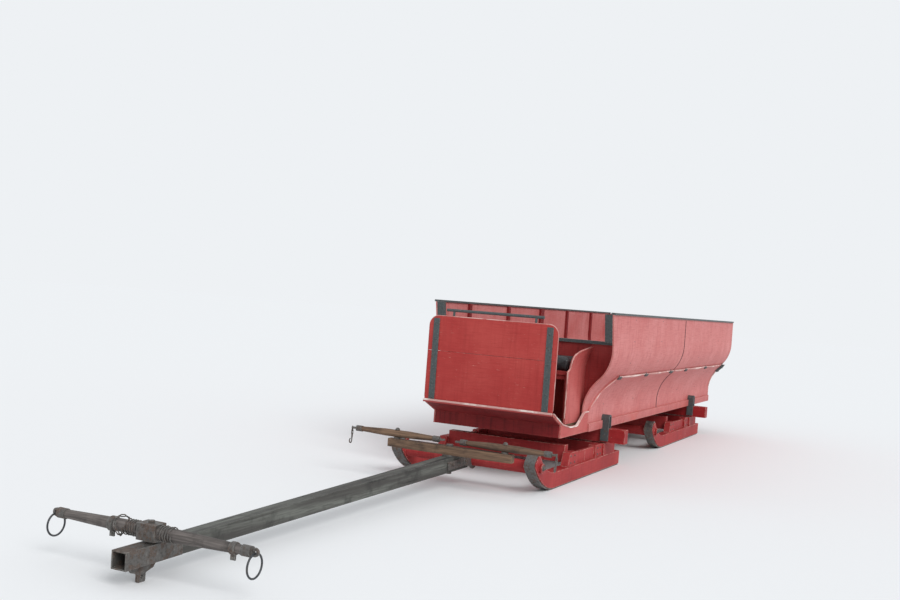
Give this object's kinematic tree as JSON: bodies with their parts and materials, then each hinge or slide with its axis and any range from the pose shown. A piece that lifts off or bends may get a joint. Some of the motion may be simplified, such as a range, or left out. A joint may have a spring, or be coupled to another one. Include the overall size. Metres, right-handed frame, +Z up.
{
  "type": "horse drawn bob sleigh",
  "caption": "Long flared passenger sleigh box on a steering front bob and a rear bob, with a lifting draft pole, evener, singletrees, neck yoke and a drop tailgate.",
  "frame": {"origin": "centre of the bounding box at its base, between the runners on the ground", "axes": "+X forwards along the pole, +Y to the sleigh's left, +Z up"},
  "size_m": [9.2782, 1.56, 1.2963],
  "materials": {
    "bright_red_paint": "weathered",
    "faded_red_paint": "weathered",
    "dark_red_paint": "weathered",
    "bob_red_paint": "weathered",
    "dark_strap_iron": "worn",
    "rusty_steel": "rusty",
    "shoe_steel": "scuffed",
    "grey_timber": "weathered",
    "brown_timber": "weathered",
    "yoke_timber": "weathered",
    "floor_timber": "worn",
    "bench_timber": "painted, worn",
    "seat_cover": "matt vinyl",
    "pale_edging": "worn"
  },
  "bodies": {
    "box": {"floor_sills": "dark_red_paint", "floor_headers": "dark_red_paint", "floor_deck": "floor_timber", "prow_panel": "dark_red_paint", "dash_lower": "bright_red_paint", "dash_upper": "bright_red_paint", "dash_straps": "dark_strap_iron", "dash_battens": "dark_red_paint", "dash_trim": "pale_edging", "rein_rail": "dark_strap_iron", "door_sills": "faded_red_paint", "side_lower_left": "faded_red_paint", "side_lower_right": "faded_red_paint", "side_upper_left": "faded_red_paint", "side_upper_right": "faded_red_paint", "side_ribs": "dark_red_paint", "bottom_rails": "faded_red_paint", "cap_rails": "dark_strap_iron", "partition": "dark_red_paint", "end_posts": "dark_strap_iron", "seat_ends": "faded_red_paint", "seat_frame": "dark_red_paint", "driver_seat": "dark_red_paint", "driver_cushion": "seat_cover", "benches": "bench_timber", "bench_supports": "bench_timber", "hinge_leaves": "dark_strap_iron", "gate_latches": "dark_strap_iron", "bolsters": "bob_red_paint", "stakes": "dark_strap_iron", "rear_runners": "bob_red_paint", "rear_shoes": "shoe_steel", "rear_knees": "bob_red_paint", "rear_bench": "bob_red_paint", "rear_beams": "bob_red_paint", "rear_king_pin": "rusty_steel"},
    "front_bob": {"front_runners": "bob_red_paint", "front_shoes": "shoe_steel", "front_knees": "bob_red_paint", "front_bench": "bob_red_paint", "front_beams": "bob_red_paint", "front_king_pin": "rusty_steel"},
    "tailgate": {"tailgate": "faded_red_paint", "hinge_straps": "dark_strap_iron"},
    "pole": {"pole_timber": "grey_timber", "pole_tip": "rusty_steel", "pole_irons": "rusty_steel", "evener_pin": "rusty_steel", "yoke_pin": "rusty_steel"},
    "evener": {"evener": "brown_timber", "evener_clips": "rusty_steel"},
    "singletree_left": {"singletree_left": "brown_timber", "singletree_left_irons": "rusty_steel"},
    "singletree_right": {"singletree_right": "brown_timber", "singletree_right_irons": "rusty_steel"},
    "neck_yoke": {"yoke_bar": "yoke_timber", "yoke_irons": "rusty_steel", "yoke_rings": "rusty_steel"}
  },
  "joints": [
    {"name": "front_bob_steer", "type": "hinge", "parent": "box", "child": "front_bob", "pos_m": [-0.42561, 0, 0.23], "axis": [0, 0, 1], "range_deg": [-30, 30]},
    {"name": "pole_lift", "type": "hinge", "parent": "front_bob", "child": "pole", "pos_m": [1.13899, 0, 0.18515], "axis": [0, -1, 0], "range_deg": [0, 40]},
    {"name": "evener_swing", "type": "hinge", "parent": "pole", "child": "evener", "pos_m": [1.44014, 0, 0.24132], "axis": [0.0194, 0, 0.9998], "range_deg": [-15, 15]},
    {"name": "singletree_left_swing", "type": "hinge", "parent": "evener", "child": "singletree_left", "pos_m": [1.44194, 0.41, 0.3343], "axis": [0.0194, 0, 0.9998], "range_deg": [-20, 20]},
    {"name": "singletree_right_swing", "type": "hinge", "parent": "evener", "child": "singletree_right", "pos_m": [1.44194, -0.41, 0.3343], "axis": [0.0194, 0, 0.9998], "range_deg": [-20, 20]},
    {"name": "neck_yoke_swing", "type": "hinge", "parent": "pole", "child": "neck_yoke", "pos_m": [4.4501, 0, 0.20995], "axis": [0.0194, 0, 0.9998], "range_deg": [-20, 20]},
    {"name": "tailgate_drop", "type": "hinge", "parent": "box", "child": "tailgate", "pos_m": [-4.61111, 0, 0.329], "axis": [0, -1, 0], "range_deg": [0, 90]}
  ]
}
